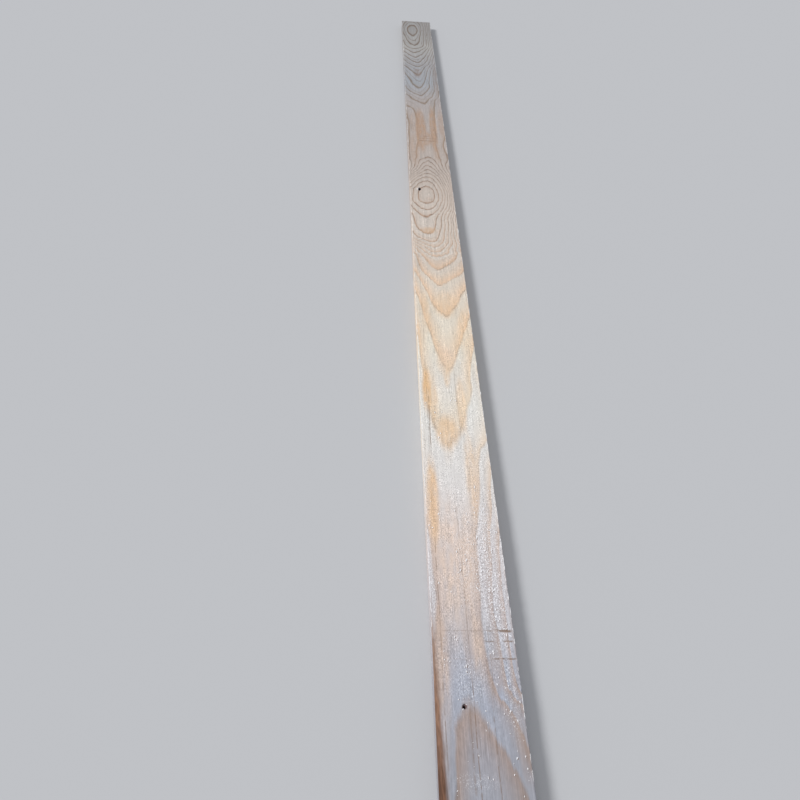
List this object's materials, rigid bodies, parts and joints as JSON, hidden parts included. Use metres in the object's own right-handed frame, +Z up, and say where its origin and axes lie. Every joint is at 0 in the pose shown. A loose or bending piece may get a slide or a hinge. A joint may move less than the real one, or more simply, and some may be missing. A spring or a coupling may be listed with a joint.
{
  "type": "timber lumber plank",
  "caption": "Long flat sawn softwood plank with square-cut ends, a tapering strip of wane on one top arris and nail holes through its face.",
  "frame": {"origin": "middle of the underside, on the floor that the plank lies on", "axes": "+X across the plank to its right edge, +Y along it to its far end, +Z up through its thickness to the top face"},
  "size_m": [0.1, 2.4, 0.022],
  "materials": {
    "pine": "rough sawn, bare, dry"
  },
  "bodies": {
    "root": {"plank": "pine"}
  },
  "joints": []
}
